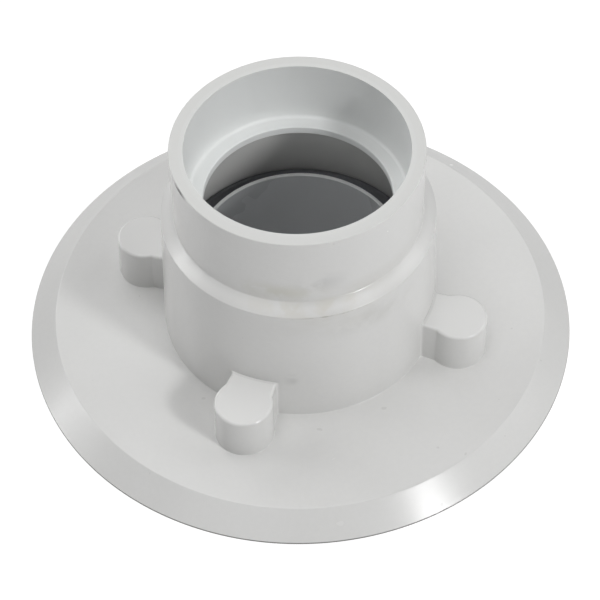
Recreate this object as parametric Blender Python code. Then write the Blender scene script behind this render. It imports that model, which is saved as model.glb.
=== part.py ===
"""Floor-mounted toilet flange for a solvent-welded 3 inch waste pipe, with a bolt ring and a push-in throat.

The flange lies on its floor face, as it does on a bench: the face is at z = 0 and the pipe socket
opens upwards. The origin is the centre of the face, and +Z is the axis of the bore.
"""

import math

import bmesh
import bpy
from mathutils import Matrix, Vector

MM = 0.001
GAP = 0.3 * MM                      # clearance between pieces that touch on the real flange

# Pipe socket, sized for a 3 inch Schedule 40 pipe
SOCKET_INNER_R = 44.6 * MM
SOCKET_DEEP_R = 44.3 * MM           # the socket tapers by this much down to the pipe stop
SOCKET_OUTER_R = 50.4 * MM
SOCKET_TOP_Z = 106.2 * MM
SOCKET_EDGE = 0.4 * MM
PIPE_STOP_Z = 77.6 * MM
PIPE_STOP_R = 38.1 * MM
PIPE_STOP_THICK = 3.6 * MM

# Hub below the socket
HUB_TOP_R = 55.5 * MM
HUB_BASE_R = 57.2 * MM
HUB_TOP_Z = 68.9 * MM
STEP_RISE = 3.9 * MM                # height of the sloping step between hub and socket
HUB_BORE_R = 52.1 * MM

# Round plate with its bevelled skirt
PLATE_R = 114.3 * MM
PLATE_TOP_R = 103.3 * MM
PLATE_THICK = 8.8 * MM
PLATE_LIP = 0.8 * MM
RECESS_R = 89.7 * MM                # pocket in the face that takes the bolt ring
RECESS_DEPTH = 3.7 * MM

# Screw bosses behind the plate
BOSS_COUNT = 4
BOSS_FIRST_ANGLE = math.radians(-19.7)
BOSS_PITCH_R = 69.0 * MM
BOSS_R = 11.8 * MM
BOSS_NECK_HALF = 9.9 * MM           # half width of the neck where it meets the round boss
BOSS_NECK_HUB_HALF = 9.2 * MM       # half width where it meets the hub
BOSS_TOP_Z = 28.5 * MM
BOSS_EDGE = 1.0 * MM
BOSS_HOLE_END_Z = 24.5 * MM

# Bolt ring, a 7 inch stainless plate ring
RING_OUTER_R = 88.9 * MM
RING_INNER_R = 56.0 * MM
RING_BOTTOM_Z = 0.4 * MM
RING_THICK = 3.0 * MM
RING_EDGE = 0.3 * MM
CLOSET_BOLT_R = 76.2 * MM           # closet bolts stand 6 inches apart
CLOSET_SLOT_HALF = 4.35 * MM
LONG_SLOT_HALF_ANGLE = math.radians(17)
SHORT_SLOT_HALF_ANGLE = math.radians(6)
KEYHOLE_R = 8.0 * MM                # lets the head of a closet bolt in at one end of a long slot
HEAD_POCKET_HALF = 10.0 * MM        # room behind the ring for the bolt's head
HEAD_POCKET_HALF_ANGLE = math.radians(19)
HEAD_POCKET_TOP_Z = 7.2 * MM

# Ring screws, M5 countersunk with a hexagon socket, and the brass inserts they run in
SCREW_R = 2.4 * MM
SCREW_HEAD_R = 4.6 * MM
SCREW_HEAD_Z = 0.6 * MM
SCREW_TIP_Z = 22.4 * MM
SCREW_SOCKET_R = 1.73 * MM
SCREW_SOCKET_DEPTH = 1.7 * MM
SCREW_CLEAR_R = 2.8 * MM
INSERT_R = 5.0 * MM
INSERT_GROOVE = 0.6 * MM
INSERT_BOTTOM_Z = 4.3 * MM
INSERT_TOP_Z = 19.5 * MM

# Flat gasket between the ring and the plate
GASKET_INNER_R = 58.0 * MM
GASKET_OUTER_R = 62.8 * MM
GASKET_THICK = 1.3 * MM

# Push-in throat sleeve and its two seals
SLEEVE_BORE_R = 39.7 * MM
SLEEVE_TUBE_R = 43.0 * MM
SLEEVE_TOP_Z = 44.8 * MM
SLEEVE_EDGE = 0.8 * MM
SHOULDER_R = 46.4 * MM              # thicker wall that carries the lip seal
SHOULDER_Z = 30.7 * MM
COLLAR_R = 51.7 * MM
COLLAR_TOP_Z = 13.0 * MM
COLLAR_LIP_R = 55.2 * MM
SLEEVE_FACE_Z = 0.6 * MM
FUNNEL_R = 45.0 * MM
FUNNEL_TOP_Z = 7.0 * MM
GROOVE_R = 49.2 * MM
GROOVE_LOW_Z = 6.3 * MM
GROOVE_HIGH_Z = 9.9 * MM
O_RING_SECTION_R = 1.15 * MM
SEAL_TOP_Z = 38.0 * MM

ROUND_STEPS = 72                    # sides of the large turned pieces
SMALL_STEPS = 20                    # sides of screws, inserts and holes
SECTION_STEPS = 8                   # sides of the O-ring's section
END_STEPS = 6                       # sides of each round slot end


def clear_scene():
    for item in list(bpy.data.objects):
        bpy.data.objects.remove(item, do_unlink=True)


def make_material(name, colour, roughness, metallic=0.0):
    material = bpy.data.materials.new(name)
    material.use_nodes = True
    shader = material.node_tree.nodes["Principled BSDF"]
    shader.inputs["Base Color"].default_value = (*colour, 1.0)
    shader.inputs["Roughness"].default_value = roughness
    shader.inputs["Metallic"].default_value = metallic
    return material


def make_object(name, mesh, material=None, location=(0, 0, 0), turn=0.0):
    mesh.shade_smooth()
    mesh.set_sharp_from_angle(angle=math.radians(30))
    item = bpy.data.objects.new(name, mesh)
    bpy.context.scene.collection.objects.link(item)
    item.location = location
    item.rotation_euler = (0, 0, turn)
    if material:
        mesh.materials.append(material)
    return item


def finish_mesh(name, shape):
    bmesh.ops.remove_doubles(shape, verts=shape.verts, dist=1e-7)
    bmesh.ops.recalc_face_normals(shape, faces=shape.faces)
    mesh = bpy.data.meshes.new(name)
    shape.to_mesh(mesh)
    shape.free()
    return mesh


def turned_mesh(name, profile, steps=ROUND_STEPS):
    """A closed outline of (radius, height) points, turned round the Z axis."""
    shape = bmesh.new()
    points = [shape.verts.new((radius, 0, height)) for radius, height in profile]
    edges = [shape.edges.new((points[i - 1], points[i])) for i in range(len(points))]
    bmesh.ops.spin(shape, geom=points + edges, cent=(0, 0, 0), axis=(0, 0, 1),
                   angle=2 * math.pi, steps=steps, use_merge=True)
    return finish_mesh(name, shape)


def add_prism(shape, outline, low, high):
    """Adds an outline of (x, y) points extruded from height low to height high, and returns its top face."""
    base = shape.faces.new([shape.verts.new((x, y, low)) for x, y in outline])
    raised = bmesh.ops.extrude_face_region(shape, geom=[base])
    moved = [v for v in raised["geom"] if isinstance(v, bmesh.types.BMVert)]
    bmesh.ops.translate(shape, verts=moved, vec=(0, 0, high - low))
    return next(f for f in raised["geom"] if isinstance(f, bmesh.types.BMFace))


def add_copy(shape, mesh, matrix):
    """Adds a transformed copy of a mesh to the shape."""
    known = set(shape.verts)
    shape.from_mesh(mesh)
    added = [v for v in shape.verts if v not in known]
    bmesh.ops.transform(shape, matrix=matrix, verts=added)


def arc_points(centre, radius, start, end, steps):
    """Points on an arc from angle start to angle end, both ends included."""
    angles = [start + (end - start) * i / steps for i in range(steps + 1)]
    return [(centre[0] + radius * math.cos(a), centre[1] + radius * math.sin(a)) for a in angles]


def arc_slot(middle, half_angle, half_width):
    """Outline of a slot with round ends that follows the closet bolts' circle."""
    first, last = middle - half_angle, middle + half_angle
    steps = max(2, round(math.degrees(2 * half_angle) / 4))
    end = (CLOSET_BOLT_R * math.cos(last), CLOSET_BOLT_R * math.sin(last))
    start = (CLOSET_BOLT_R * math.cos(first), CLOSET_BOLT_R * math.sin(first))
    outline = arc_points((0, 0), CLOSET_BOLT_R + half_width, first, last, steps)
    outline += arc_points(end, half_width, last, last + math.pi, END_STEPS)[1:-1]
    outline += arc_points((0, 0), CLOSET_BOLT_R - half_width, last, first, steps)
    outline += arc_points(start, half_width, first + math.pi, first + 2 * math.pi, END_STEPS)[1:-1]
    return outline


def make_cutter(name, shape):
    """A hidden solid that only cuts or adds to another one."""
    item = make_object(name, finish_mesh(name, shape))
    item.hide_render = True
    item.display_type = "WIRE"
    return item


def combine(item, tool, operation):
    modifier = item.modifiers.new(tool.name, "BOOLEAN")
    modifier.operation = operation
    modifier.object = tool
    modifier.solver = "EXACT"


def boss_angles():
    return [BOSS_FIRST_ANGLE + 2 * math.pi * i / BOSS_COUNT for i in range(BOSS_COUNT)]


def boss_places():
    return [Vector((BOSS_PITCH_R * math.cos(a), BOSS_PITCH_R * math.sin(a), 0)) for a in boss_angles()]


def slot_angles():
    """Middles of the four arcs between the bosses."""
    return [a + math.pi / BOSS_COUNT for a in boss_angles()]


def body_profile():
    """Outline of plate, hub and socket, from the face outwards and up, then down the bore."""
    shelf_z = PIPE_STOP_Z - PIPE_STOP_THICK
    wall = HUB_TOP_R - HUB_BORE_R
    outside = [
        (RECESS_R, 0), (PLATE_R, 0), (PLATE_R, PLATE_LIP), (PLATE_TOP_R, PLATE_THICK),
        (HUB_BASE_R, PLATE_THICK), (HUB_TOP_R, HUB_TOP_Z), (SOCKET_OUTER_R, HUB_TOP_Z + STEP_RISE),
        (SOCKET_OUTER_R, SOCKET_TOP_Z - SOCKET_EDGE), (SOCKET_OUTER_R - SOCKET_EDGE, SOCKET_TOP_Z),
    ]
    inside = [
        (SOCKET_INNER_R + SOCKET_EDGE, SOCKET_TOP_Z), (SOCKET_INNER_R, SOCKET_TOP_Z - SOCKET_EDGE),
        (SOCKET_DEEP_R, PIPE_STOP_Z), (PIPE_STOP_R, PIPE_STOP_Z), (PIPE_STOP_R, shelf_z),
        (SOCKET_DEEP_R, shelf_z), (SOCKET_OUTER_R - wall, HUB_TOP_Z + STEP_RISE - wall),
        (HUB_BORE_R, HUB_TOP_Z - wall - STEP_RISE), (HUB_BORE_R, RECESS_DEPTH),
        (GASKET_INNER_R - GAP, RECESS_DEPTH), (GASKET_INNER_R - GAP, RECESS_DEPTH + GASKET_THICK + GAP),
        (GASKET_OUTER_R + GAP, RECESS_DEPTH + GASKET_THICK + GAP), (GASKET_OUTER_R + GAP, RECESS_DEPTH),
        (RECESS_R, RECESS_DEPTH),
    ]
    return outside + inside


def boss_outline(angle):
    """Keyhole plan: a round boss with a straight-sided neck that runs into the hub wall."""
    half_opening = math.asin(BOSS_NECK_HALF / BOSS_R)
    hub_wall_r = (HUB_BORE_R + HUB_TOP_R) / 2
    plan = arc_points((BOSS_PITCH_R, 0), BOSS_R, half_opening - math.pi, math.pi - half_opening, SMALL_STEPS)
    plan += [(hub_wall_r, BOSS_NECK_HUB_HALF), (hub_wall_r, -BOSS_NECK_HUB_HALF)]
    turn = Matrix.Rotation(angle, 3, "Z")
    return [(turn @ Vector((x, y, 0))).xy for x, y in plan]


def make_bosses():
    shape = bmesh.new()
    for angle in boss_angles():
        top = add_prism(shape, boss_outline(angle), PLATE_THICK / 2 + HEAD_POCKET_TOP_Z / 2, BOSS_TOP_Z)
        bmesh.ops.bevel(shape, geom=list(top.edges), offset=BOSS_EDGE, segments=1, affect="EDGES")
    return make_cutter("boss_blocks", shape)


def make_body_cutter():
    """Blind screw holes, each stepped for its insert, and the pockets for closet bolt heads."""
    below = RECESS_DEPTH / 2
    hole = turned_mesh("boss_hole", [
        (0, below), (INSERT_R + GAP, below), (INSERT_R + GAP, INSERT_TOP_Z + GAP),
        (SCREW_CLEAR_R, INSERT_TOP_Z + GAP), (SCREW_CLEAR_R, BOSS_HOLE_END_Z), (0, BOSS_HOLE_END_Z),
    ], SMALL_STEPS)
    shape = bmesh.new()
    for place in boss_places():
        add_copy(shape, hole, Matrix.Translation(place))
    for angle in slot_angles():
        add_prism(shape, arc_slot(angle, HEAD_POCKET_HALF_ANGLE, HEAD_POCKET_HALF), below, HEAD_POCKET_TOP_Z)
    return make_cutter("body_cutter", shape)


def make_body(pvc):
    body = make_object("flange_body", turned_mesh("flange_body", body_profile()), pvc)
    combine(body, make_bosses(), "UNION")
    combine(body, make_body_cutter(), "DIFFERENCE")


def make_ring(steel):
    low, high = RING_BOTTOM_Z, RING_BOTTOM_Z + RING_THICK
    ring = make_object("bolt_ring", turned_mesh("bolt_ring", [
        (RING_INNER_R + RING_EDGE, low), (RING_OUTER_R - RING_EDGE, low), (RING_OUTER_R, low + RING_EDGE),
        (RING_OUTER_R, high), (RING_INNER_R, high), (RING_INNER_R, low + RING_EDGE),
    ]), steel)
    below, above = low - RING_THICK, high + RING_THICK
    mouth_r = SCREW_HEAD_R + SCREW_HEAD_Z + 2 * GAP - low
    countersink = turned_mesh("countersink", [
        (0, below), (mouth_r, below), (mouth_r, low), (SCREW_CLEAR_R, low + mouth_r - SCREW_CLEAR_R),
        (SCREW_CLEAR_R, above), (0, above),
    ], SMALL_STEPS)
    shape = bmesh.new()
    for place in boss_places():
        add_copy(shape, countersink, Matrix.Translation(place))
    for number, angle in enumerate(slot_angles()):
        half_angle = SHORT_SLOT_HALF_ANGLE if number % 2 else LONG_SLOT_HALF_ANGLE
        add_prism(shape, arc_slot(angle, half_angle, CLOSET_SLOT_HALF), below, above)
    slots = make_cutter("ring_slots", shape)
    combine(ring, slots, "DIFFERENCE")
    shape = bmesh.new()
    for angle in slot_angles()[::2]:
        end = angle - LONG_SLOT_HALF_ANGLE
        middle = (CLOSET_BOLT_R * math.cos(end), CLOSET_BOLT_R * math.sin(end))
        add_prism(shape, arc_points(middle, KEYHOLE_R, 0, 2 * math.pi, SMALL_STEPS)[:-1], below, above)
    combine(ring, make_cutter("ring_keyholes", shape), "DIFFERENCE")
    return ring


def screw_profile():
    cone_top = SCREW_HEAD_Z + SCREW_HEAD_R - SCREW_R
    tip_r = SCREW_R / 2
    return [(0, SCREW_HEAD_Z), (SCREW_HEAD_R, SCREW_HEAD_Z), (SCREW_R, cone_top),
            (SCREW_R, SCREW_TIP_Z - tip_r), (tip_r, SCREW_TIP_Z), (0, SCREW_TIP_Z)]


def make_screws(steel, ring):
    """Four countersunk screws, each on its own axis and carried by the ring."""
    mesh = turned_mesh("ring_screw", screw_profile(), SMALL_STEPS)
    key_hole = bmesh.new()
    hexagon = arc_points((0, 0), SCREW_SOCKET_R, 0, 2 * math.pi, 6)[:-1]
    add_prism(key_hole, hexagon, 0, SCREW_HEAD_Z + SCREW_SOCKET_DEPTH)
    key_mesh = finish_mesh("screw_socket", key_hole)
    for number, (angle, place) in enumerate(zip(boss_angles(), boss_places()), 1):
        screw = make_object(f"ring_screw_{number}", mesh.copy(), steel, place, angle)
        screw.parent = ring
        socket = make_object(f"screw_socket_{number}", key_mesh.copy(), None, place, angle)
        socket.hide_render = True
        socket.display_type = "WIRE"
        combine(screw, socket, "DIFFERENCE")


def make_inserts(brass):
    """Threaded brass inserts with two holding grooves, one in each boss."""
    bore, groove_r = SCREW_R + GAP, INSERT_R - INSERT_GROOVE
    band = (INSERT_TOP_Z - INSERT_BOTTOM_Z) / 5
    bands = [INSERT_BOTTOM_Z + band * i for i in range(6)]
    profile = [(bore, bands[0]), (INSERT_R, bands[0]), (INSERT_R, bands[1]), (groove_r, bands[1]),
               (groove_r, bands[2]), (INSERT_R, bands[2]), (INSERT_R, bands[3]), (groove_r, bands[3]),
               (groove_r, bands[4]), (INSERT_R, bands[4]), (INSERT_R, bands[5]), (bore, bands[5])]
    mesh = turned_mesh("boss_insert", profile, SMALL_STEPS)
    for number, place in enumerate(boss_places(), 1):
        make_object(f"boss_insert_{number}", mesh.copy(), brass, place)


def make_gasket(rubber):
    low = RECESS_DEPTH
    profile = [(GASKET_INNER_R, low), (GASKET_OUTER_R, low), (GASKET_OUTER_R, low + GASKET_THICK),
               (GASKET_INNER_R, low + GASKET_THICK)]
    make_object("ring_gasket", turned_mesh("ring_gasket", profile), rubber)


def make_sleeve(pvc):
    """Throat tube, thicker round the lip seal, with a grooved collar and a lip that stops it in the hub."""
    lip_top_z = RECESS_DEPTH - GAP
    profile = [
        (FUNNEL_R, SLEEVE_FACE_Z), (COLLAR_LIP_R, SLEEVE_FACE_Z), (COLLAR_LIP_R, lip_top_z),
        (COLLAR_R, lip_top_z), (COLLAR_R, GROOVE_LOW_Z), (GROOVE_R, GROOVE_LOW_Z),
        (GROOVE_R, GROOVE_HIGH_Z), (COLLAR_R, GROOVE_HIGH_Z), (COLLAR_R, COLLAR_TOP_Z),
        (SHOULDER_R, COLLAR_TOP_Z), (SHOULDER_R, SHOULDER_Z), (SLEEVE_TUBE_R, SHOULDER_Z),
        (SLEEVE_TUBE_R, SLEEVE_TOP_Z - SLEEVE_EDGE), (SLEEVE_TUBE_R - SLEEVE_EDGE, SLEEVE_TOP_Z),
        (SLEEVE_BORE_R, SLEEVE_TOP_Z), (SLEEVE_BORE_R, FUNNEL_TOP_Z),
    ]
    return make_object("throat_sleeve", turned_mesh("throat_sleeve", profile), pvc)


def make_sleeve_seals(rubber, sleeve):
    """O-ring in the collar's groove, and the lip seal between the tube and the hub wall."""
    section_middle = ((GROOVE_R + HUB_BORE_R) / 2, (GROOVE_LOW_Z + GROOVE_HIGH_Z) / 2)
    circle = arc_points(section_middle, O_RING_SECTION_R, 0, 2 * math.pi, SECTION_STEPS)[:-1]
    o_ring = make_object("collar_o_ring", turned_mesh("collar_o_ring", circle), rubber)
    inner, outer, low = SLEEVE_TUBE_R + GAP, HUB_BORE_R - GAP, SHOULDER_Z + GAP
    height, width = SEAL_TOP_Z - low, outer - inner
    profile = [
        (inner, low), (outer - width / 4, low), (outer - width / 4, low + height / 3), (outer, low + height / 2),
        (outer, SEAL_TOP_Z), (outer - width / 5, SEAL_TOP_Z), (inner + width / 2, SEAL_TOP_Z - height / 4),
        (inner + width / 5, SEAL_TOP_Z), (inner, SEAL_TOP_Z),
    ]
    lip_seal = make_object("sleeve_lip_seal", turned_mesh("sleeve_lip_seal", profile), rubber)
    for seal in (o_ring, lip_seal):
        seal.parent = sleeve


def main():
    clear_scene()
    pvc = make_material("white_pvc", (0.74, 0.74, 0.73), 0.30)
    steel = make_material("stainless_steel", (0.56, 0.56, 0.55), 0.32, 1.0)
    brass = make_material("brass", (0.70, 0.50, 0.22), 0.35, 1.0)
    rubber = make_material("black_rubber", (0.10, 0.10, 0.105), 0.6)
    make_body(pvc)
    make_inserts(brass)
    make_gasket(rubber)
    sleeve = make_sleeve(pvc)
    make_sleeve_seals(rubber, sleeve)
    ring = make_ring(steel)
    make_screws(steel, ring)


main()
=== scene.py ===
"""Looks of a white PVC toilet flange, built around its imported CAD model."""

import math

import bmesh
import bpy
from mathutils import Matrix, Vector


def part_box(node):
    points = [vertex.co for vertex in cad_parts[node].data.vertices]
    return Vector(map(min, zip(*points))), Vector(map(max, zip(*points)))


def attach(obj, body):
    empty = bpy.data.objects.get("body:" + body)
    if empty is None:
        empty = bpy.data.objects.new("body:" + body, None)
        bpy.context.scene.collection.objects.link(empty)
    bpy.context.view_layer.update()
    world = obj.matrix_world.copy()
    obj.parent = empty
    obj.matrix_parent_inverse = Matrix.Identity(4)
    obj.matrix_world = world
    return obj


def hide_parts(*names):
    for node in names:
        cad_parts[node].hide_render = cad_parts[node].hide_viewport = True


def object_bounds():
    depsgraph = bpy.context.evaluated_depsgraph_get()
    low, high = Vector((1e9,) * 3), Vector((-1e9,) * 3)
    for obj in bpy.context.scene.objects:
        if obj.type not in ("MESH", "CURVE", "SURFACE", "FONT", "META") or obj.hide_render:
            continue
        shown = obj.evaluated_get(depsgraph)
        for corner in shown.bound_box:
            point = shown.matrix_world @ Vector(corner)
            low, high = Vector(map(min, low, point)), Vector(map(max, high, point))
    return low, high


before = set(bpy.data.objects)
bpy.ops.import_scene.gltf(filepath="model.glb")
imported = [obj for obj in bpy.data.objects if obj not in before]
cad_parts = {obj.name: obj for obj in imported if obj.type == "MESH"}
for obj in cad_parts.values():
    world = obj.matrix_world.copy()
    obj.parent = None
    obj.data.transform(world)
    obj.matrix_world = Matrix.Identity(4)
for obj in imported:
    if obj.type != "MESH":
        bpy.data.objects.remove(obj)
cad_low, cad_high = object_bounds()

MM = 0.001
GAP = 0.3 * MM                      # clearance between fitted pieces
RING_GAP = 0.8 * MM                 # clearance round the bolt ring and inside it

# Sizes read from the imported CAD model
PLATE_R = cad_high.x
TOP_Z = cad_high.z
RING_LOW, RING_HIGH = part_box("bolt_ring")
SLEEVE_LOW, SLEEVE_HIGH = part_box("throat_sleeve")
SEAL_LOW, SEAL_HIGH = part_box("sleeve_lip_seal")
O_RING_LOW, O_RING_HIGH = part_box("collar_o_ring")
GASKET_LOW, GASKET_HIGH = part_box("ring_gasket")
SCREW_BOXES = [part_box(f"ring_screw_{n}") for n in range(1, 5)]
INSERT_LOW, INSERT_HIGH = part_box("boss_insert_1")
BOSS_PLACES = [Vector(((low.x + high.x) / 2, (low.y + high.y) / 2, 0))
               for low, high in SCREW_BOXES]
BOSS_PITCH_R = BOSS_PLACES[0].length
BOSS_ANGLES = [math.atan2(place.y, place.x) for place in BOSS_PLACES]
SLOT_ANGLES = [angle + math.pi / 4 for angle in BOSS_ANGLES]    # middles of the arcs between bosses

# Moulded body
PLATE_TOP_R = 103.3 * MM
PLATE_TOP_Z = 8.8 * MM
PLATE_LIP = 0.8 * MM
RECESS_R = RING_HIGH.x + RING_GAP
RECESS_Z = RING_HIGH.z + GAP
HUB_BASE_R = 57.2 * MM
HUB_TOP_R = 55.5 * MM
HUB_TOP_Z = 68.9 * MM
HUB_BORE_R = 52.1 * MM
SOCKET_OUTER_R = 50.4 * MM
SOCKET_INNER_R = 44.6 * MM
SOCKET_DEEP_R = 44.3 * MM
SOCKET_FOOT_Z = 72.8 * MM
STOP_R = 38.1 * MM
STOP_Z = 77.6 * MM
STOP_UNDER_Z = 74.0 * MM
GROOVE_Z = GASKET_HIGH.z + GAP
GASKET_WIDTH = 4.8 * MM
GASKET_HIGH_R = GASKET_HIGH.x + GAP
GASKET_LOW_R = GASKET_HIGH.x - GASKET_WIDTH - GAP
BOSS_R = 11.8 * MM
BOSS_NECK_HALF = 9.9 * MM           # where the neck meets the round boss
BOSS_TOP_Z = 28.5 * MM
BOSS_HOLE_END_Z = 24.5 * MM
BOSS_DRAFT = math.radians(1.0)
BOSS_TOP_ROUND = 1.2 * MM
BOSS_FOOT_ROUND = 0.3 * MM
BOSS_FOOT_SINK = 0.02 * MM          # keeps the foot's lowest edge off the plate's surface
BOSS_IN_WALL = 0.97                 # the neck starts inside the hub wall, at this share of its radius
NECK_TAPER = math.radians(6)        # the neck's sides draw in towards the hub
NECK_ROUND = 0.9 * MM               # inner corner between boss and neck
NECK_HUB_ROUND = 1.2 * MM           # inner corner between neck and hub
CLOSET_BOLT_R = 76.2 * MM
SLOT_HALF = 4.35 * MM
KEYHOLE_R = 8.0 * MM
LONG_SLOT_ANGLE = math.radians(17)
SHORT_SLOT_ANGLE = math.radians(6)
POCKET_HALF = 10.0 * MM
POCKET_ANGLE = math.radians(19)
POCKET_TOP_Z = 7.2 * MM

# Throat sleeve
SLEEVE_BORE_R = 39.7 * MM
SLEEVE_TUBE_R = 43.0 * MM
SLEEVE_CREST_R = 41.5 * MM
SLEEVE_TAPER = 25 * MM              # length over which the wall thins towards the crest
SHOULDER_R = 46.4 * MM
COLLAR_R = 51.7 * MM
COLLAR_TOP_Z = 13.0 * MM
FUNNEL_R = 45.0 * MM
FUNNEL_TOP_Z = 7.0 * MM
O_GROOVE_R = 49.2 * MM
O_GROOVE_LIP = 0.65 * MM            # groove beyond the O-ring on each side

# Screws and inserts
SCREW_R = 2.4 * MM
SCREW_HOLE_R = 2.8 * MM
SCREW_HEAD_R = 4.6 * MM
SCREW_HEAD_EDGE = 0.25 * MM
HEAD_GAP = 0.6 * MM                 # countersink's mouth beyond the screw's head
HEX_FLAT = 1.5 * MM
HEX_DEPTH = 1.7 * MM
THREAD_PITCH = 0.8 * MM
THREAD_DEPTH = 0.42 * MM
INSERT_TEETH = 32
INSERT_TOOTH = 0.25 * MM
INSERT_CHAMFER = 0.4 * MM
INSERT_BANDS = 5                    # knurled and plain in turn
KNURL_LEAN = 0.12                   # radians from one side of a band to the other

# Fineness of round shapes
CORNER_STEP = math.radians(12)
ROUND_STEPS = 240
HOLE_STEPS = 48
SCREW_STEPS = 36
THREAD_ROWS = 6                     # rows of points in one turn of the thread

# Stains of the moulding: azimuth, its reach, height, its reach (degrees and mm), colour, strength
STAINS = [
    (-98, 28, 78.0, 7.0, (0.56, 0.55, 0.46), 0.42),
    (-80, 16, 83.0, 7.0, (0.50, 0.50, 0.50), 0.35),
    (-85, 45, 71.0, 4.0, (0.64, 0.61, 0.51), 0.35),
    (-76, 18, 68.5, 0.5, (0.20, 0.19, 0.15), 0.9),
    (-155, 8, 105.6, 1.4, (0.01, 0.01, 0.01), 1.0),
    (-94, 4, 31.0, 5.0, (0.42, 0.42, 0.41), 0.4),
    (-60, 30, 60.0, 9.0, (0.55, 0.55, 0.53), 0.3),
]

# Lamps: name, azimuth, elevation, angle that they fill (degrees), brightness
SOFTBOXES = [
    ("key", -41, 36, 8, 57.0),
    ("key_wide", -44, 28, 24, 3.8),
    ("right", 15, 42, 34, 1.8),
    ("left_edge", 171, 23.5, 8, 6.5),
    ("left_wide", 168, 32, 30, 2.5),
    ("overhead", 225, 80, 30, 2.7),
    ("back_left", 130, 28, 34, 2.7),
    ("back", 90, 58, 40, 0.95),
    ("front_fill", 240, 42, 34, 0.85),
]
LIGHT_DISTANCE = 1.6
ROOM_LIGHT = 0.02
ROOM_LIGHT_BELOW = 0.6
FLOOR_R = 40 * PLATE_R
FLOOR_Z = -0.05 * MM
FLOOR_GLOW = 1.25
UNDER_SHINE = 0.6

# Camera
LENS = 132.6
CAMERA_BACK = 5.1646 * PLATE_R
CAMERA_UP = 6.4299 * PLATE_R
CAMERA_TILT = math.radians(39.242)
CAMERA_ROLL = math.radians(-1.05)


# ---------------------------------------------------------------- outlines and rows of points

def rounded(corners):
    """Closed outline through (x, y, radius) corners, each rounded by its own radius."""
    points = []
    for i, (x, y, radius) in enumerate(corners):
        here = Vector((x, y))
        before = Vector(corners[i - 1][:2]) - here
        after = Vector(corners[(i + 1) % len(corners)][:2]) - here
        opening = before.angle(after)
        # A round takes just under half of a side, so that two never meet
        reach = min(radius / math.tan(opening / 2), 0.49 * before.length, 0.49 * after.length)
        radius = reach * math.tan(opening / 2)
        inward = (before.normalized() + after.normalized()).normalized()
        middle = here + inward * radius / math.sin(opening / 2)
        start = here + before.normalized() * reach - middle
        end = here + after.normalized() * reach - middle
        turn = start.angle_signed(end)
        count = max(2, math.ceil(abs(turn) / CORNER_STEP))
        for k in range(count + 1):
            spoke = start.copy()
            spoke.rotate(Matrix.Rotation(-turn * k / count, 2))
            points.append(tuple(middle + spoke))
    return points


def arc_points(centre, radius, start, end, steps):
    """Points on an arc from angle start to angle end, both ends included."""
    angles = [start + (end - start) * i / steps for i in range(steps + 1)]
    return [(centre[0] + radius * math.cos(a), centre[1] + radius * math.sin(a)) for a in angles]


def circle_points(centre, radius, steps):
    return arc_points(centre, radius, 0, 2 * math.pi, steps)[:-1]


def on_bolt_circle(angle):
    return CLOSET_BOLT_R * math.cos(angle), CLOSET_BOLT_R * math.sin(angle)


def arc_slot(middle, half_angle, half_width):
    """Outline of a slot with round ends along the closet bolts' circle."""
    side_steps, end_steps = 24, 14
    first, last = middle - half_angle, middle + half_angle
    far_end = arc_points(on_bolt_circle(last), half_width, last, last + math.pi, end_steps)
    near_end = arc_points(on_bolt_circle(first), half_width, first + math.pi, first + 2 * math.pi, end_steps)
    outline = arc_points((0, 0), CLOSET_BOLT_R + half_width, first, last, side_steps) + far_end[1:-1]
    outline += arc_points((0, 0), CLOSET_BOLT_R - half_width, last, first, side_steps) + near_end[1:-1]
    return outline


def full_turn(steps):
    return [2 * math.pi * i / steps for i in range(steps)]


def turned_rows(outline, steps):
    """Each (radius, height) point of an outline taken round the Z axis."""
    return [[(r * math.cos(a), r * math.sin(a), z) for a in full_turn(steps)] for r, z in outline]


# ---------------------------------------------------------------- meshes

def mesh_of(name, shape):
    bmesh.ops.remove_doubles(shape, verts=shape.verts, dist=1e-7)
    bmesh.ops.recalc_face_normals(shape, faces=shape.faces)
    mesh = bpy.data.meshes.new(name)
    shape.to_mesh(mesh)
    shape.free()
    return mesh


def add_object(name, mesh):
    item = bpy.data.objects.new(name, mesh)
    bpy.context.scene.collection.objects.link(item)
    return item


def add_grid(shape, rows, closed_rows=False):
    """Quads between rows of points that all go round once. Closed rows also join last to first."""
    rings = [[shape.verts.new(p) for p in row] for row in rows]
    for low, high in zip(rings, rings[1:] + (rings[:1] if closed_rows else [])):
        for i in range(len(low)):
            shape.faces.new((low[i - 1], low[i], high[i], high[i - 1]))
    return rings


def add_closed_grid(shape, rows):
    """A grid of rows with a flat cap on the first and the last one."""
    rings = add_grid(shape, rows)
    shape.faces.new(rings[0])
    shape.faces.new(rings[-1])


def turned(name, outline):
    """A closed (radius, height) outline turned round the Z axis."""
    shape = bmesh.new()
    add_grid(shape, turned_rows(outline, ROUND_STEPS), closed_rows=True)
    return mesh_of(name, shape)


def plug(name, outline):
    """An open (radius, height) outline turned round the Z axis and capped at both ends."""
    shape = bmesh.new()
    add_closed_grid(shape, turned_rows(outline, HOLE_STEPS))
    return mesh_of(name, shape)


def prisms(name, outlines, low, high):
    shape = bmesh.new()
    for outline in outlines:
        add_closed_grid(shape, [[(x, y, low) for x, y in outline], [(x, y, high) for x, y in outline]])
    return mesh_of(name, shape)


def solid_of(name, meshes, matrices):
    """One object from several closed meshes, each moved by its matrix."""
    shape = bmesh.new()
    for mesh, matrix in zip(meshes, matrices):
        known = len(shape.verts)
        shape.from_mesh(mesh)
        shape.verts.ensure_lookup_table()
        bmesh.ops.transform(shape, matrix=matrix, verts=shape.verts[known:])
    mesh = bpy.data.meshes.new(name)
    shape.to_mesh(mesh)
    shape.free()
    return add_object(name, mesh)


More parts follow.
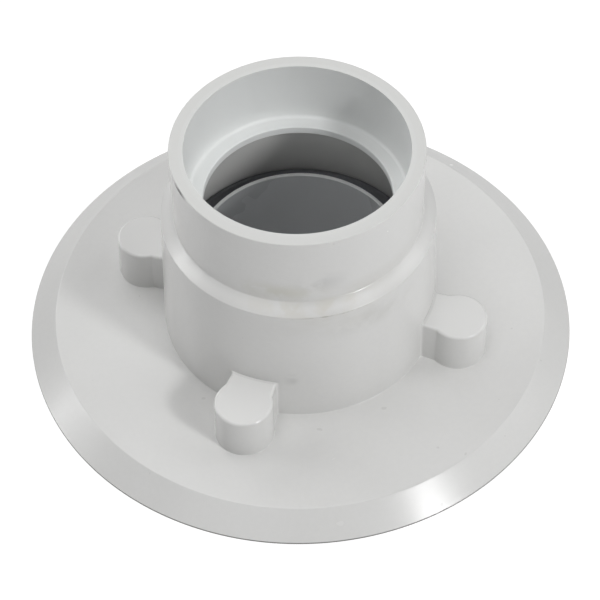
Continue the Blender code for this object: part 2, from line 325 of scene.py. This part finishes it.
def apply_modifiers(item):
    seen = item.evaluated_get(bpy.context.evaluated_depsgraph_get())
    mesh = bpy.data.meshes.new_from_object(seen)
    item.modifiers.clear()
    item.data = mesh


def combine(item, tool, operation):
    """Boolean with the tool, applied, after which the tool is gone."""
    modifier = item.modifiers.new("combine", "BOOLEAN")
    modifier.operation = operation
    modifier.object = tool
    modifier.solver = "EXACT"
    apply_modifiers(item)
    bpy.data.objects.remove(tool, do_unlink=True)


def soften_edges(item, width):
    modifier = item.modifiers.new("soft_edges", "BEVEL")
    modifier.width = width
    modifier.segments = 2
    modifier.limit_method = "ANGLE"
    modifier.angle_limit = math.radians(40)
    modifier.use_clamp_overlap = True
    apply_modifiers(item)


def smooth(item, angle):
    """Smooth shading that keeps flat faces flat next to small rounded edges."""
    item.data.shade_smooth()
    item.data.set_sharp_from_angle(angle=math.radians(angle))
    modifier = item.modifiers.new("flat_faces", "WEIGHTED_NORMAL")
    modifier.keep_sharp = True
    modifier.weight = 100


def finish_piece(item, material, body, node, angle=34):
    item.data.materials.clear()
    item.data.materials.append(material)
    smooth(item, angle)
    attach(item, body)
    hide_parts(node)


# ---------------------------------------------------------------- moulded body

def body_outline():
    wall = HUB_TOP_R - HUB_BORE_R
    return rounded([
        (RECESS_R, 0, 0.4 * MM), (PLATE_R, 0, 0.3 * MM), (PLATE_R, PLATE_LIP, 0.4 * MM),
        (PLATE_TOP_R, PLATE_TOP_Z, 0.8 * MM), (HUB_BASE_R, PLATE_TOP_Z, 0.4 * MM),
        (HUB_TOP_R, HUB_TOP_Z, 0.3 * MM), (SOCKET_OUTER_R, SOCKET_FOOT_Z, 0.8 * MM),
        (SOCKET_OUTER_R, TOP_Z, 0.4 * MM), (SOCKET_INNER_R, TOP_Z, 0.2 * MM),
        (SOCKET_DEEP_R, STOP_Z, 1.4 * MM), (STOP_R, STOP_Z, 0.5 * MM), (STOP_R, STOP_UNDER_Z, 0.5 * MM),
        (SOCKET_DEEP_R, STOP_UNDER_Z, 2.0 * MM), (SOCKET_OUTER_R - wall, SOCKET_FOOT_Z - wall, 2.0 * MM),
        (HUB_BORE_R, HUB_TOP_Z - 2 * wall, 4.0 * MM), (HUB_BORE_R, RECESS_Z, 0.6 * MM),
        (GASKET_LOW_R, RECESS_Z, 0.2 * MM), (GASKET_LOW_R, GROOVE_Z, 0.3 * MM),
        (GASKET_HIGH_R, GROOVE_Z, 0.3 * MM), (GASKET_HIGH_R, RECESS_Z, 0.2 * MM),
        (RECESS_R, RECESS_Z, 0.5 * MM),
    ])


def hub_radius(height):
    share = (height - PLATE_TOP_Z) / (HUB_TOP_Z - PLATE_TOP_Z)
    return HUB_BASE_R + (HUB_TOP_R - HUB_BASE_R) * share


def boss_half_outline(grow, hub_r):
    """Half of the keyhole plan, from the hub wall out along the neck and round the boss to its far side."""
    radius, half = BOSS_R + grow, BOSS_NECK_HALF + grow
    hub_round, neck_round = NECK_HUB_ROUND - grow, NECK_ROUND - grow
    rise = math.sqrt((radius + neck_round) ** 2 - (half + neck_round) ** 2)
    corner = Vector((BOSS_PITCH_R - rise, half + neck_round))
    to_boss = Vector((BOSS_PITCH_R, 0)) - corner
    hub_half = half - (corner.x - hub_r - hub_round) * math.tan(NECK_TAPER)
    hub_corner_x = math.sqrt((hub_r + hub_round) ** 2 - (hub_half + hub_round) ** 2)
    hub_corner = Vector((hub_corner_x, hub_half + hub_round))
    in_wall = hub_corner.normalized() * hub_r
    start = math.atan2(in_wall.y - hub_corner.y, in_wall.x - hub_corner.x)
    along_neck = NECK_TAPER - math.pi / 2
    points = [tuple(in_wall * BOSS_IN_WALL)]
    points += arc_points(hub_corner, hub_round, start, along_neck, 6)
    points += arc_points(corner, neck_round, along_neck, math.atan2(to_boss.y, to_boss.x), 6)
    points += arc_points((BOSS_PITCH_R, 0), radius, math.atan2(-to_boss.y, -to_boss.x), 0, 30)[1:]
    return points


def boss_levels():
    """Pairs of height and outward growth: a round foot, drafted sides and a round top edge."""
    foot, top = [], []
    steps = 5
    for i in range(steps + 1):
        a = math.pi / 2 * i / steps
        inward, along = 1 - math.sin(a), 1 - math.cos(a)
        foot.append((PLATE_TOP_Z + BOSS_FOOT_ROUND * along, BOSS_FOOT_ROUND * inward))
        top.append((BOSS_TOP_Z - BOSS_TOP_ROUND * inward, -BOSS_TOP_ROUND * along))
    foot[0] = (PLATE_TOP_Z - BOSS_FOOT_SINK, BOSS_FOOT_ROUND)
    sunk = [((PLATE_TOP_Z + POCKET_TOP_Z) / 2, BOSS_FOOT_ROUND)]
    return [(z, grow + (BOSS_TOP_Z - z) * math.tan(BOSS_DRAFT)) for z, grow in sunk + foot + top]


def boss_mesh():
    rows = []
    for height, grow in boss_levels():
        half = boss_half_outline(grow, hub_radius(height))
        outline = half + [(x, -y) for x, y in half[-2::-1]]
        rows.append([(x, y, height) for x, y in outline])
    shape = bmesh.new()
    add_closed_grid(shape, rows)
    return mesh_of("boss", shape)


def hole_mesh():
    """Stepped blind hole of a boss: a wide part for the insert and a narrow one for the screw's tip."""
    wide = (INSERT_HIGH.x - INSERT_LOW.x) / 2 + GAP
    step_z = INSERT_HIGH.z + GAP
    return plug("hole", [(wide, RECESS_Z / 2), (wide, step_z), (SCREW_HOLE_R, step_z),
                         (SCREW_HOLE_R, BOSS_HOLE_END_Z)])


def make_body(material):
    body = add_object("flange_moulding", turned("flange_moulding", body_outline()))
    turns = [Matrix.Rotation(angle, 4, "Z") for angle in BOSS_ANGLES]
    combine(body, solid_of("bosses", [boss_mesh()] * 4, turns), "UNION")
    pocket_outlines = [arc_slot(angle, POCKET_ANGLE, POCKET_HALF) for angle in SLOT_ANGLES]
    pockets = prisms("pockets", pocket_outlines, RECESS_Z / 2, POCKET_TOP_Z)
    places = [Matrix.Translation(place) for place in BOSS_PLACES] + [Matrix.Identity(4)]
    combine(body, solid_of("hollows", [hole_mesh()] * 4 + [pockets], places), "DIFFERENCE")
    finish_piece(body, material, "flange", "flange_body")


# ---------------------------------------------------------------- throat sleeve and seals

def make_sleeve(material):
    face_z, rim_z, lip_r = SLEEVE_LOW.z, SLEEVE_HIGH.z, SLEEVE_HIGH.x
    lip_z = RECESS_Z - GAP
    groove_low, groove_high = O_RING_LOW.z - O_GROOVE_LIP, O_RING_HIGH.z + O_GROOVE_LIP
    shoulder_z = SEAL_LOW.z - GAP
    outline = rounded([
        (FUNNEL_R, face_z, 0.6 * MM), (lip_r, face_z, 0.5 * MM), (lip_r, lip_z, 0.4 * MM),
        (COLLAR_R, lip_z, 0.3 * MM), (COLLAR_R, groove_low, 0.2 * MM), (O_GROOVE_R, groove_low, 0.3 * MM),
        (O_GROOVE_R, groove_high, 0.3 * MM), (COLLAR_R, groove_high, 0.2 * MM),
        (COLLAR_R, COLLAR_TOP_Z, 0.9 * MM), (SHOULDER_R, COLLAR_TOP_Z, 1.0 * MM),
        (SHOULDER_R, shoulder_z, 0.4 * MM), (SLEEVE_TUBE_R, shoulder_z, 0.3 * MM),
        (SLEEVE_TUBE_R, rim_z, 0.4 * MM), (SLEEVE_CREST_R, rim_z, 0.4 * MM),
        (SLEEVE_BORE_R, rim_z - SLEEVE_TAPER, 8.0 * MM), (SLEEVE_BORE_R, FUNNEL_TOP_Z, 5.0 * MM),
    ])
    sleeve = add_object("throat_sleeve_tube", turned("throat_sleeve_tube", outline))
    finish_piece(sleeve, material, "sleeve", "throat_sleeve")


def make_lip_seal(material):
    inner, outer = SLEEVE_TUBE_R + GAP, SEAL_HIGH.x
    low, high = SEAL_LOW.z, SEAL_HIGH.z
    width, height = outer - inner, high - low
    outline = rounded([
        (inner, low, 0.4 * MM), (outer - width / 4, low, 0.5 * MM),
        (outer - width / 4, low + height / 3, 0.4 * MM), (outer, low + height / 2, 0.6 * MM),
        (outer, high, 0.5 * MM), (outer - width / 5, high, 0.6 * MM),
        (inner + width / 2, high - height / 4, 1.2 * MM), (inner + width / 5, high, 0.6 * MM),
        (inner, high, 0.4 * MM),
    ])
    lip_seal = add_object("lip_seal_ring", turned("lip_seal_ring", outline))
    finish_piece(lip_seal, material, "sleeve", "sleeve_lip_seal")


def make_o_ring(material):
    section = (O_RING_HIGH.z - O_RING_LOW.z) / 2
    middle = (O_RING_HIGH.x - section, O_RING_LOW.z + section)
    o_ring = add_object("o_ring_cord", turned("o_ring_cord", circle_points(middle, section, 20)))
    finish_piece(o_ring, material, "sleeve", "collar_o_ring")


def make_gasket(material):
    low, high = GASKET_LOW.z, GASKET_HIGH.z
    inner, outer = GASKET_HIGH.x - GASKET_WIDTH, GASKET_HIGH.x
    corners = [(inner, low), (outer, low), (outer, high), (inner, high)]
    outline = rounded([(r, z, 0.2 * MM) for r, z in corners])
    gasket = add_object("gasket_washer", turned("gasket_washer", outline))
    finish_piece(gasket, material, "flange", "ring_gasket")


# ---------------------------------------------------------------- bolt ring, screws and inserts

def make_ring(material):
    low, high, outer = RING_LOW.z, RING_HIGH.z, RING_HIGH.x
    inner = SLEEVE_HIGH.x + RING_GAP
    outline = [(inner, low), (outer, low), (outer, high), (inner, high)]
    ring = add_object("bolt_ring_plate", turned("bolt_ring_plate", outline))
    below, above = low - 2 * MM, high + 2 * MM
    mouth = SCREW_HEAD_R + SCREW_BOXES[0][0].z - low + HEAD_GAP
    countersink = plug("countersink", [(mouth + low - below, below),
                                       (SCREW_HOLE_R, low + mouth - SCREW_HOLE_R), (SCREW_HOLE_R, above)])
    places = [Matrix.Translation(place) for place in BOSS_PLACES]
    combine(ring, solid_of("countersinks", [countersink] * 4, places), "DIFFERENCE")
    half_angles = [LONG_SLOT_ANGLE, SHORT_SLOT_ANGLE] * 2
    slots = [arc_slot(angle, half, SLOT_HALF) for angle, half in zip(SLOT_ANGLES, half_angles)]
    combine(ring, add_object("slots", prisms("slots", slots, below, above)), "DIFFERENCE")
    keyholes = [circle_points(on_bolt_circle(angle - LONG_SLOT_ANGLE), KEYHOLE_R, HOLE_STEPS)
                for angle in SLOT_ANGLES[::2]]
    combine(ring, add_object("keyholes", prisms("keyholes", keyholes, below, above)), "DIFFERENCE")
    soften_edges(ring, 0.22 * MM)
    finish_piece(ring, material, "ring", "bolt_ring")


def hexagon_radius(angle):
    """Distance from the middle of the hexagon socket to its wall."""
    return HEX_FLAT / math.cos((angle + math.pi / 6) % (math.pi / 3) - math.pi / 6)


def thread_radius(angle, height):
    """Shank radius on a sharp single-start thread."""
    share = (height / THREAD_PITCH - angle / (2 * math.pi)) % 1
    return SCREW_R - THREAD_DEPTH * min(1, 1.25 * abs(2 * share - 1))


def screw_mesh():
    """One grid from the floor of the hexagon socket, over the head, down the thread to the tip."""
    low, tip_z = SCREW_BOXES[0][0].z, SCREW_BOXES[0][1].z
    head_end = low + SCREW_HEAD_R - SCREW_R
    root = SCREW_R - THREAD_DEPTH

    def row(radius_at, height):
        return [(radius_at(a) * math.cos(a), radius_at(a) * math.sin(a), height)
                for a in full_turn(SCREW_STEPS)]

    def hexagon(grow):
        return lambda a: hexagon_radius(a) + grow

    def circle(radius):
        return lambda a: radius

    rows = [row(hexagon(-0.3 * MM), low + HEX_DEPTH), row(hexagon(0), low + HEX_DEPTH - 0.1 * MM),
            row(hexagon(0), low + 0.2 * MM), row(hexagon(0.2 * MM), low),
            row(circle(SCREW_HEAD_R - SCREW_HEAD_EDGE), low),
            row(circle(SCREW_HEAD_R - SCREW_HEAD_EDGE / 4), low + SCREW_HEAD_EDGE / 3),
            row(circle(SCREW_HEAD_R - SCREW_HEAD_EDGE / 2), low + SCREW_HEAD_EDGE),
            row(circle(SCREW_R), head_end), row(circle(root), head_end + 0.5 * MM)]
    thread_end = tip_z - 1.2 * MM
    count = round((thread_end - head_end) / THREAD_PITCH * THREAD_ROWS)
    for i in range(4, count + 1):       # past the plain root under the head
        height = head_end + (thread_end - head_end) * i / count
        rows.append(row(lambda a: thread_radius(a, height), height))
    rows += [row(circle(root), tip_z - 0.9 * MM), row(circle(SCREW_R / 2), tip_z)]
    shape = bmesh.new()
    add_closed_grid(shape, rows)
    return mesh_of("ring_screw", shape)


def make_screws(material):
    mesh = screw_mesh()
    for number, (place, angle) in enumerate(zip(BOSS_PLACES, BOSS_ANGLES), 1):
        turn = Matrix.Rotation(angle + number, 4, "Z")      # each screw stops at its own angle
        screw = solid_of(f"countersunk_screw_{number}", [mesh], [Matrix.Translation(place) @ turn])
        finish_piece(screw, material, f"screw_{number}", f"ring_screw_{number}")


def insert_mesh():
    """Brass sleeve with knurled bands, plain grooves between them, and a chamfered bore."""
    outer, bore = (INSERT_HIGH.x - INSERT_LOW.x) / 2, SCREW_R + GAP
    bottom, top = INSERT_LOW.z, INSERT_HIGH.z
    band = (top - bottom) / INSERT_BANDS

    def row(radius, height, tooth=0.0, twist=0.0):
        ring = []
        for a in full_turn(INSERT_TEETH * 4):
            wave = abs(((a + twist) * INSERT_TEETH / (2 * math.pi)) % 1 * 2 - 1)
            r = radius - tooth * wave
            ring.append((r * math.cos(a), r * math.sin(a), height))
        return ring

    rows = []
    for number in range(INSERT_BANDS):
        start, end = bottom + band * number, bottom + band * (number + 1)
        if number % 2:
            rows += [row(outer - 0.6 * MM, start + 0.2 * MM), row(outer - 0.6 * MM, end - 0.2 * MM)]
        else:
            lean = KNURL_LEAN if number else -KNURL_LEAN
            rows += [row(outer - 0.3 * MM, start), row(outer, start + 0.3 * MM, INSERT_TOOTH),
                     row(outer, end - 0.3 * MM, INSERT_TOOTH, lean), row(outer - 0.3 * MM, end)]
    rows += [row(bore + INSERT_CHAMFER, top), row(bore, top - INSERT_CHAMFER),
             row(bore, bottom + INSERT_CHAMFER), row(bore + INSERT_CHAMFER, bottom)]
    shape = bmesh.new()
    add_grid(shape, rows, closed_rows=True)
    return mesh_of("boss_insert", shape)


def make_inserts(material):
    mesh = insert_mesh()
    for number, place in enumerate(BOSS_PLACES, 1):
        insert = solid_of(f"knurled_insert_{number}", [mesh], [Matrix.Translation(place)])
        finish_piece(insert, material, "flange", f"boss_insert_{number}", angle=25)


# ---------------------------------------------------------------- materials

class Paint:
    """A Principled material with short calls for the nodes that feed it."""

    def __init__(self, name, roughness, metallic=0.0, specular=0.5, ior=1.5):
        self.material = bpy.data.materials.new(name)
        self.material.use_nodes = True
        self.nodes = self.material.node_tree.nodes
        self.links = self.material.node_tree.links
        self.shader = self.nodes["Principled BSDF"]
        self.shader.inputs["Roughness"].default_value = roughness
        self.shader.inputs["Metallic"].default_value = metallic
        self.shader.inputs["Specular IOR Level"].default_value = specular
        self.shader.inputs["IOR"].default_value = ior
        self.place = self.nodes.new("ShaderNodeTexCoord").outputs["Object"]

    def feed(self, node, **inputs):
        """Set or link inputs by name, or by number when written as _0, _1 and so on."""
        for name, value in inputs.items():
            socket = node.inputs[int(name[1:])] if name[0] == "_" else node.inputs[name]
            if isinstance(value, bpy.types.NodeSocket):
                self.links.new(value, socket)
            else:
                socket.default_value = value

    def noise(self, scale, detail=2.0, place=None, distortion=0.0):
        node = self.nodes.new("ShaderNodeTexNoise")
        self.feed(node, Vector=place or self.place, Scale=scale, Detail=detail, Distortion=distortion)
        return node.outputs["Fac"]

    def stretched(self, *scale):
        """The object's place with each axis scaled on its own, for grain and rings."""
        node = self.nodes.new("ShaderNodeMapping")
        self.feed(node, Vector=self.place, Scale=scale)
        return node.outputs["Vector"]

    def math(self, operation, first, second=0.0):
        node = self.nodes.new("ShaderNodeMath")
        node.operation = operation
        self.feed(node, _0=first, _1=second)
        return node.outputs[0]

    def times(self, first, second):
        return self.math("MULTIPLY", first, second)

    def axes(self):
        node = self.nodes.new("ShaderNodeSeparateXYZ")
        self.links.new(self.place, node.inputs[0])
        return node.outputs

    def radius(self, x, y):
        return self.math("SQRT", self.math("ADD", self.times(x, x), self.times(y, y)))

    def spread(self, value, low, high, to_low=0.0, to_high=1.0):
        """Smooth map of a value from low..high to to_low..to_high."""
        node = self.nodes.new("ShaderNodeMapRange")
        node.interpolation_type = "SMOOTHSTEP"
        self.feed(node, _0=value, _1=low, _2=high, _3=to_low, _4=to_high)
        return node.outputs[0]

    def fade(self, value, low, high):
        """1 below low, falling smoothly to 0 above high."""
        return self.spread(value, low, high, 1.0, 0.0)

    def near(self, value, middle, reach):
        """1 at the middle, falling smoothly to 0 at the reach."""
        return self.fade(self.math("ABSOLUTE", self.math("SUBTRACT", value, middle)), 0.0, reach)

    def tint(self, base, colour, amount):
        node = self.nodes.new("ShaderNodeMix")
        node.data_type = "RGBA"
        self.feed(node, _0=amount, _6=base, _7=(*colour, 1.0))
        return node.outputs[2]

    def blended(self, share, first, second):
        """Shader between two shaders."""
        node = self.nodes.new("ShaderNodeMixShader")
        self.feed(node, _0=share, _1=first, _2=second)
        return node.outputs[0]

    def emission(self, strength):
        node = self.nodes.new("ShaderNodeEmission")
        node.inputs["Strength"].default_value = strength
        return node.outputs[0]

    def bump(self, height, distance, under=None):
        node = self.nodes.new("ShaderNodeBump")
        self.feed(node, Height=height, Distance=distance, Strength=1.0)
        if under:
            self.links.new(under, node.inputs["Normal"])
        return node.outputs["Normal"]

    def finish(self, colour, roughness=None, normal=None):
        for name, value in (("Base Color", colour), ("Roughness", roughness), ("Normal", normal)):
            if value is not None:
                self.links.new(value, self.shader.inputs[name])
        return self.material


def make_sleeve_pvc():
    """Extruded PVC, a little bluer than the moulding and darker grey, partly as painted shade for its deep
    bore, with faint rings, a grey film and painted light on the crest.
    """
    paint = Paint("sleeve_pvc", roughness=0.3, ior=1.54)
    z = paint.axes()["Z"]
    rings = paint.noise(1.0, 2, paint.stretched(8, 8, 500))
    film = paint.spread(paint.noise(22, 3), 0.25, 0.8)
    # painted shade in part: a darker grey than the moulding, so that the deep bore looks shaded
    colour = paint.tint((0.525, 0.537, 0.555, 1), (0.545, 0.555, 0.570), rings)
    colour = paint.tint(colour, (0.46, 0.47, 0.46), paint.times(film, 0.25))
    # painted light: the top of the crest much lighter than the rest of the sleeve
    crest = paint.spread(z, SLEEVE_HIGH.z - 0.7 * MM, SLEEVE_HIGH.z - 0.3 * MM)
    colour = paint.tint(colour, (0.88, 0.89, 0.89), crest)
    gloss = paint.spread(film, 0.0, 1.0, 0.26, 0.34)
    return paint.finish(colour, gloss, paint.bump(rings, 0.004 * MM))


def yellowed_dirt(paint, azimuth, z, outside):
    """Streaky mask round the step, strongest at the front."""
    streaks = paint.spread(paint.noise(9, 5, paint.stretched(3, 3, 8)), 0.42, 0.66)
    front = paint.near(azimuth, math.radians(-72), math.radians(70))
    step = paint.near(z, HUB_TOP_Z, 16 * MM)
    return paint.times(paint.times(streaks, front), paint.times(step, outside))


def stained(paint, colour, azimuth, z, outside):
    """The colour with the stains that belong to one place each."""
    patches = paint.spread(paint.noise(120, 4, distortion=0.4), 0.35, 0.6)
    for where, azimuth_reach, height, height_reach, stain, strength in STAINS:
        across = paint.near(azimuth, math.radians(where), math.radians(azimuth_reach))
        up = paint.near(z, height * MM, height_reach * MM)
        spot = paint.times(paint.times(across, up), patches)
        colour = paint.tint(colour, stain, paint.times(spot, paint.times(outside, strength)))
    return colour


def make_pvc():
    """Satin grey-white PVC: faint mottling, dirt, rub marks, stains and a slight orange peel, with painted
    shade at the plate's foot and in the cavity, and painted light in the socket, on the step and on the boss
    tops.
    """
    paint = Paint("white_pvc", roughness=0.3, ior=1.54)
    x, y, z = paint.axes()
    azimuth = paint.math("ARCTAN2", y, x)
    radius = paint.radius(x, y)

    # Where the moulding looks different
    outside = paint.spread(radius, 49.9 * MM, 50.2 * MM)
    # painted shadow: the lowest part of the plate's lip, where it meets the floor
    foot = paint.times(paint.fade(z, 0.75 * MM, 0.95 * MM),
                       paint.spread(radius, PLATE_R - 0.8 * MM, PLATE_R - 0.4 * MM))
    bevel = paint.spread(radius, PLATE_TOP_R, PLATE_TOP_R + 1 * MM)
    # painted light: mask of the socket's inside and ledge, which are painted lighter and made duller
    inside = paint.times(paint.fade(radius, 46 * MM, 47 * MM), paint.spread(z, 70 * MM, 74 * MM))
    # painted shade: the hub's bore wall down in the cavity
    cavity_painted_shade = paint.times(paint.fade(radius, 53 * MM, 54 * MM), paint.fade(z, 66 * MM, 68 * MM))
    rim = paint.spread(z, TOP_Z - 0.3 * MM, TOP_Z - 0.1 * MM)
    # painted light: the step's face, painted lighter
    step_painted_light = paint.times(outside, paint.near(z, (HUB_TOP_Z + SOCKET_FOOT_Z) / 2, 3 * MM))
    step_corner = paint.times(outside, paint.near(z, SOCKET_FOOT_Z - 0.1 * MM, 1.2 * MM))
    # painted light: the tops of the bosses, painted lighter
    boss_top_painted_light = paint.times(paint.spread(radius, 57.5 * MM, 58 * MM),
                            paint.spread(z, BOSS_TOP_Z - 0.6 * MM, BOSS_TOP_Z - 0.2 * MM))
    boss_edge = paint.times(paint.near(z, BOSS_TOP_Z - 0.7 * MM, 0.75 * MM),
                            paint.spread(radius, 57 * MM, 58 * MM))
    rubs = paint.spread(paint.noise(70, 2, distortion=0.6), 0.70, 0.78)
    specks = paint.spread(paint.noise(300, 0), 0.87, 0.89)

    clouds = paint.spread(paint.noise(18, 2), 0.3, 0.7)
    colour = paint.tint((0.737, 0.737, 0.728, 1), (0.757, 0.756, 0.746), clouds)
    grain = paint.spread(paint.noise(500, 3), 0.4, 0.6)
    layers = [
        (grain, 0.10, (0.68, 0.68, 0.67)),
        (yellowed_dirt(paint, azimuth, z, outside), 0.24, (0.46, 0.44, 0.37)),
        (foot, 0.8, (0.09, 0.09, 0.08)),            # painted shadow: dark line on the lip where the plate meets the floor
        (rubs, 0.04, (0.42, 0.42, 0.41)),
        (specks, 0.15, (0.25, 0.24, 0.22)),
        (inside, 0.95, (0.83, 0.845, 0.84)),        # painted light: the socket's inside and ledge lighter than the outside
        # painted shade: the hub's bore wall in the cavity darker
        (cavity_painted_shade, 0.9, (0.66, 0.66, 0.65)),
        (rim, 0.8, (0.71, 0.715, 0.70)),
        # painted light: the step's face and the boss tops lighter
        (paint.math("MAXIMUM", step_painted_light, boss_top_painted_light), 1.0, (0.80, 0.80, 0.79)),
    ]
    for mask, strength, shade in layers:
        colour = paint.tint(colour, shade, paint.times(mask, strength))
    colour = stained(paint, colour, azimuth, z, outside)

    # Rough cut rim and dull socket, glossier corner of the step and edges of the bosses
    gloss = paint.spread(paint.noise(45, 4), 0.3, 0.7, 0.19, 0.23)
    for mask, change in ((rubs, 0.08), (bevel, 0.035), (inside, 0.2), (rim, 0.25),
                         (step_corner, -0.1), (boss_edge, -0.09)):
        gloss = paint.math("ADD", gloss, paint.times(mask, change))
    waves = paint.bump(paint.noise(60, 1), 0.03 * MM)
    return paint.finish(colour, gloss, paint.bump(paint.noise(900, 1), 0.003 * MM, under=waves))


def make_steel():
    """Rolled stainless plate with straight grain and light handling marks."""
    paint = Paint("stainless_steel", roughness=0.3, metallic=1.0)
    grain = paint.noise(1.0, 3, paint.stretched(40, 3000, 40))
    marks = paint.spread(paint.noise(30, 3), 0.55, 0.75, 0.0, 0.35)
    colour = paint.tint((0.50, 0.50, 0.49, 1), (0.64, 0.635, 0.62), grain)
    colour = paint.tint(colour, (0.45, 0.44, 0.42), marks)
    gloss = paint.spread(grain, 0.3, 0.7, 0.24, 0.40)
    return paint.finish(colour, gloss, paint.bump(grain, 0.004 * MM))


def make_brass():
    """Turned brass with fine rings and dull brown tarnish."""
    paint = Paint("turned_brass", roughness=0.35, metallic=1.0)
    rings = paint.noise(1.0, 2, paint.stretched(60, 60, 4000))
    tarnish = paint.noise(160, 3)
    colour = paint.tint((0.72, 0.52, 0.24, 1), (0.80, 0.62, 0.33), rings)
    colour = paint.tint(colour, (0.38, 0.26, 0.12), paint.spread(tarnish, 0.55, 0.8, 0.0, 0.5))
    gloss = paint.spread(tarnish, 0.3, 0.7, 0.28, 0.5)
    return paint.finish(colour, gloss, paint.bump(rings, 0.003 * MM))


def make_rubber():
    """Matt dark rubber with a fine moulded grain and a trace of talc."""
    paint = Paint("black_rubber", roughness=0.55)
    talc = paint.spread(paint.noise(140, 4), 0.5, 0.8, 0.0, 0.25)
    colour = paint.tint((0.19, 0.193, 0.208, 1), (0.23, 0.23, 0.24), talc)
    grain = paint.noise(1200, 2)
    gloss = paint.spread(grain, 0.3, 0.7, 0.34, 0.48)
    return paint.finish(colour, gloss, paint.bump(grain, 0.01 * MM))


# ---------------------------------------------------------------- stage, light and camera

def make_floor_material():
    """White table, clear from below. One glow is only for the camera, one lights the plate's underside."""
    paint = Paint("pale_floor", roughness=0.9, specular=0.1)
    colour = paint.tint((0.87, 0.87, 0.87, 1), (0.89, 0.89, 0.89), paint.noise(6, 2))
    x, y, _ = paint.axes()
    radius = paint.radius(x, y)
    seen = paint.nodes.new("ShaderNodeLightPath").outputs["Is Camera Ray"]
    # Beyond the object it is lit up for the camera, so its shadows are faint there
    beyond = paint.spread(radius, 0.8 * PLATE_R, PLATE_R, 0.0, 0.7)
    lit = paint.blended(paint.times(seen, beyond), paint.shader.outputs[0], paint.emission(FLOOR_GLOW))
    # Under the plate it shines up, so that views from below show the underside
    under = paint.times(paint.spread(radius, 46 * MM, 48 * MM),
                        paint.fade(radius, PLATE_R - 4 * MM, PLATE_R - 2 * MM))
    unseen = paint.math("SUBTRACT", 1.0, seen)
    lit = paint.blended(paint.times(unseen, under), lit, paint.emission(UNDER_SHINE))
    from_below = paint.nodes.new("ShaderNodeNewGeometry").outputs["Backfacing"]
    clear = paint.nodes.new("ShaderNodeBsdfTransparent").outputs[0]
    surface = paint.nodes["Material Output"].inputs["Surface"]
    paint.links.new(paint.blended(from_below, lit, clear), surface)
    return paint.finish(colour)


def make_floor():
    floor = add_object("studio_floor", bpy.data.meshes.new("studio_floor"))
    shape = bmesh.new()
    bmesh.ops.create_circle(shape, cap_ends=True, segments=96, radius=FLOOR_R,
                            matrix=Matrix.Translation((0, 0, FLOOR_Z)))
    shape.to_mesh(floor.data)
    shape.free()
    floor.data.materials.append(make_floor_material())


def make_room():
    """White for the camera. Its light is faint, but brighter from below for pieces under the floor."""
    world = bpy.data.worlds.new("dim_room")
    bpy.context.scene.world = world
    world.use_nodes = True
    world.cycles.sampling_method = "NONE"      # leaves the samples to the lamps
    nodes, link = world.node_tree.nodes, world.node_tree.links.new
    axes = nodes.new("ShaderNodeSeparateXYZ")
    link(nodes.new("ShaderNodeTexCoord").outputs["Generated"], axes.inputs[0])
    faint = nodes.new("ShaderNodeMapRange")
    link(axes.outputs["Z"], faint.inputs["Value"])
    for name, value in (("From Min", -0.3), ("From Max", -0.05),
                        ("To Min", ROOM_LIGHT_BELOW), ("To Max", ROOM_LIGHT)):
        faint.inputs[name].default_value = value
    strength = nodes.new("ShaderNodeMapRange")
    link(nodes.new("ShaderNodeLightPath").outputs["Is Camera Ray"], strength.inputs["Value"])
    link(faint.outputs["Result"], strength.inputs["To Min"])
    strength.inputs["To Max"].default_value = 1.0
    back = nodes["Background"]
    back.inputs["Color"].default_value = (1, 1, 1, 1)
    link(strength.outputs["Result"], back.inputs["Strength"])


def add_softbox(name, azimuth, elevation, angle, brightness):
    """Round soft light aimed at the middle of the object, filling the given angle as seen from there."""
    target = Vector((0, 0, TOP_Z / 2))
    a, e = math.radians(azimuth), math.radians(elevation)
    away = Vector((math.cos(a) * math.cos(e), math.sin(a) * math.cos(e), math.sin(e)))
    radius = LIGHT_DISTANCE * math.tan(math.radians(angle / 2))
    light = bpy.data.lights.new(name, "AREA")
    light.shape = "DISK"
    light.size = 2 * radius
    light.energy = brightness * (math.pi * radius) ** 2
    item = bpy.data.objects.new(name, light)
    bpy.context.scene.collection.objects.link(item)
    item.location = target + away * LIGHT_DISTANCE
    item.rotation_mode = "QUATERNION"
    item.rotation_quaternion = away.to_track_quat("Z", "Y")


def add_camera():
    """Three-quarter view from in front and above, with a long lens."""
    data = bpy.data.cameras.new("camera")
    data.lens = LENS
    data.clip_start, data.clip_end = 0.05, 50
    camera = bpy.data.objects.new("camera", data)
    bpy.context.scene.collection.objects.link(camera)
    camera.location = (0, -CAMERA_BACK, CAMERA_UP)
    turn = Matrix.Rotation(CAMERA_TILT, 3, "X") @ Matrix.Rotation(CAMERA_ROLL, 3, "Z")
    camera.rotation_euler = turn.to_euler()
    bpy.context.scene.camera = camera


add_camera()
make_room()
for softbox in SOFTBOXES:
    add_softbox(*softbox)
bpy.context.scene.view_settings.view_transform = "Standard"
make_floor()
pvc = make_pvc()
steel = make_steel()
rubber = make_rubber()
make_body(pvc)
make_sleeve(make_sleeve_pvc())
make_lip_seal(rubber)
make_o_ring(rubber)
make_gasket(rubber)
make_ring(steel)
make_screws(steel)
make_inserts(make_brass())
